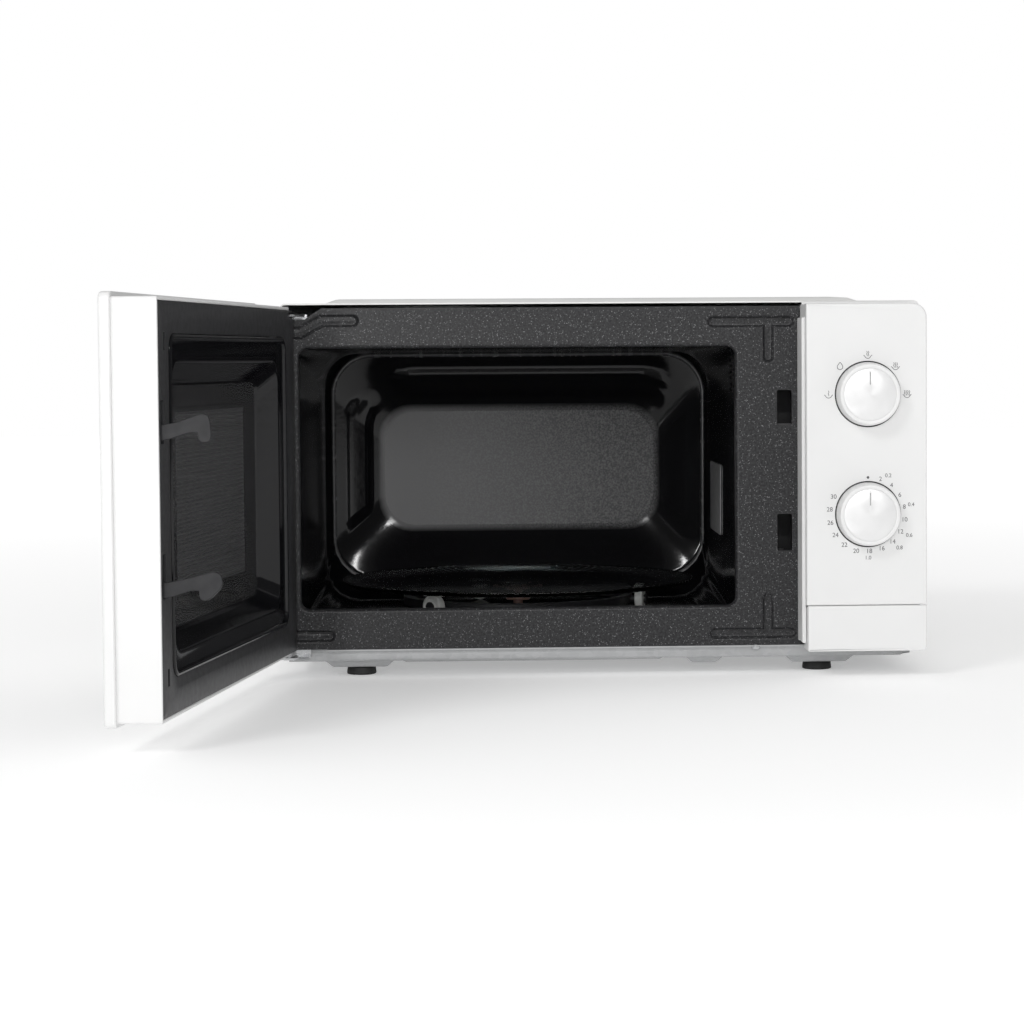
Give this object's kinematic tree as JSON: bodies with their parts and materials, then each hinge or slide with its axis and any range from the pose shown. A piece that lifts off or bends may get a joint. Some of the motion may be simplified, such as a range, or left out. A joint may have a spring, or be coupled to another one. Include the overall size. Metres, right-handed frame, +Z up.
{
  "type": "microwave oven",
  "caption": "Countertop microwave oven with a side-hinged door standing open, dial controls, a push-button latch and a glass turntable on rollers.",
  "frame": {"origin": "middle of the bounding box base, with the door open as stored; the feet stand on Z = 0", "axes": "+Z up; the door and the controls face -Y; +X is to the right seen from the front, away from the door hinge"},
  "size_m": [0.5144, 0.6764, 0.262],
  "materials": {
    "white_paint": "satin powder coat",
    "white_plastic": "smooth satin moulding",
    "speckled_enamel": "dark grey enamel with fine pale specks",
    "black_enamel": "glossy black enamel",
    "choke_plastic": "fine-grained dark grey moulding",
    "galvanised_steel": "galvanised",
    "bright_steel": "bright",
    "aluminium": "satin",
    "copper_winding": "lacquered winding",
    "circuit_board": "solder mask",
    "black_rubber": "matt",
    "dark_plastic": "satin moulding",
    "pale_plastic": "satin moulding",
    "grey_plastic": "satin moulding",
    "hub_plastic": "satin moulding",
    "mica": "dull pearly sheet",
    "clear_glass": "clear",
    "dark_glass": "smoked, glossy"
  },
  "bodies": {
    "cabinet": {"base_plate": "galvanised_steel", "outer_cover": "white_paint", "rear_panel": "white_paint", "front_plate": "speckled_enamel", "cavity_liner": "black_enamel", "cavity_back": "black_enamel", "mica_cover": "mica", "control_panel": "white_plastic", "hinge_upper": "bright_steel", "hinge_lower": "bright_steel", "foot_front_left": "black_rubber", "foot_front_right": "black_rubber", "foot_rear_left": "black_rubber", "foot_rear_right": "black_rubber", "rear_screw_1": "bright_steel", "rear_screw_2": "bright_steel", "rear_screw_3": "bright_steel", "rear_screw_4": "bright_steel", "front_screw": "bright_steel", "magnetron": "bright_steel", "waveguide": "galvanised_steel", "inverter_board": "circuit_board", "inverter_heat_sink": "aluminium", "inverter_transformer": "copper_winding", "fan_housing": "dark_plastic", "fan_motor": "bright_steel", "air_duct": "dark_plastic", "filter_board": "circuit_board", "thermal_cutout": "pale_plastic", "lamp_holder": "galvanised_steel", "oven_lamp": "clear_glass", "cord_gland": "black_rubber", "power_selector": "pale_plastic", "timer_unit": "galvanised_steel", "latch_board": "dark_plastic", "microswitch_1": "dark_plastic", "microswitch_2": "dark_plastic", "microswitch_3": "dark_plastic", "lever_bracket": "galvanised_steel", "turntable_motor": "bright_steel"},
    "door": {"door_frame": "white_plastic", "door_window": "dark_glass", "choke_cover": "choke_plastic", "door_screen": "black_enamel", "inner_film": "dark_glass", "latch_spring": "bright_steel"},
    "hooks": {"latch_hooks": "dark_plastic"},
    "power_dial": {"power_knob": "white_plastic", "power_shaft": "bright_steel"},
    "timer_dial": {"timer_knob": "white_plastic", "timer_shaft": "bright_steel"},
    "button": {"release_button": "white_plastic"},
    "lever": {"release_lever": "grey_plastic"},
    "coupler": {"turntable_coupler": "hub_plastic"},
    "tray": {"glass_tray": "clear_glass"},
    "ring": {"roller_ring": "dark_plastic"},
    "wheel_1": {"roller_wheel_1": "pale_plastic"},
    "wheel_2": {"roller_wheel_2": "pale_plastic"},
    "wheel_3": {"roller_wheel_3": "pale_plastic"},
    "fan": {"fan_blade": "pale_plastic"}
  },
  "joints": [
    {"name": "door_hinge", "type": "hinge", "parent": "cabinet", "child": "door", "pos_m": [-0.17806, 0.00854, 0.13], "axis": [0, 0, 1], "range_deg": [0, 98.35]},
    {"name": "latch_lift", "type": "slide", "parent": "door", "child": "hooks", "axis": [0, 0, 1], "range_m": [0, 0.004], "stiffness_N_per_m": 250, "springref_m": -0.006, "deforming": ["latch_spring"]},
    {"name": "power_turn", "type": "hinge", "parent": "cabinet", "child": "power_dial", "pos_m": [0.21674, -0.02576, 0.1939], "axis": [0, 1, 0], "range_deg": [-90, 90]},
    {"name": "timer_turn", "type": "hinge", "parent": "cabinet", "child": "timer_dial", "pos_m": [0.21674, -0.02576, 0.1122], "axis": [0, 1, 0], "range_deg": [0, 297]},
    {"name": "button_press", "type": "hinge", "parent": "cabinet", "child": "button", "pos_m": [0.21624, -0.01726, 0.0475], "axis": [1, 0, 0], "range_deg": [0, 10], "stiffness_Nm_per_rad": 0.5, "springref_deg": -11.46},
    {"name": "lever_tip", "type": "hinge", "parent": "cabinet", "child": "lever", "pos_m": [0.18624, 0.01024, 0.058], "axis": [1, 0, 0], "range_deg": [0, 6.5]},
    {"name": "turntable_spin", "type": "hinge", "parent": "cabinet", "child": "coupler", "pos_m": [-0.01926, 0.16424, 0.04], "axis": [0, 0, 1], "continuous": true},
    {"name": "tray_lift", "type": "slide", "parent": "coupler", "child": "tray", "axis": [0, 0, 1], "range_m": [0, 0.04]},
    {"name": "ring_roll", "type": "hinge", "parent": "cabinet", "child": "ring", "pos_m": [-0.01926, 0.16424, 0.04], "axis": [0, 0, 1], "continuous": true},
    {"name": "wheel_1_roll", "type": "hinge", "parent": "ring", "child": "wheel_1", "pos_m": [-0.08082, 0.09587, 0.04125], "axis": [-0.6691, -0.7431, 0], "continuous": true},
    {"name": "wheel_2_roll", "type": "hinge", "parent": "ring", "child": "wheel_2", "pos_m": [0.07073, 0.14511, 0.04125], "axis": [0.9781, -0.2079, 0], "continuous": true},
    {"name": "wheel_3_roll", "type": "hinge", "parent": "ring", "child": "wheel_3", "pos_m": [-0.04768, 0.25173, 0.04125], "axis": [-0.309, 0.9511, 0], "continuous": true},
    {"name": "fan_spin", "type": "hinge", "parent": "cabinet", "child": "fan", "pos_m": [0.19625, 0.30424, 0.139], "axis": [0, 1, 0], "continuous": true}
  ],
  "couplings": [
    {"joint": "lever_tip", "follows": "button_press", "ratio": 0.65},
    {"joint": "ring_roll", "follows": "turntable_spin", "ratio": 0.5},
    {"joint": "wheel_1_roll", "follows": "turntable_spin", "ratio": -5.2571},
    {"joint": "wheel_2_roll", "follows": "turntable_spin", "ratio": -5.2571},
    {"joint": "wheel_3_roll", "follows": "turntable_spin", "ratio": -5.2571}
  ]
}
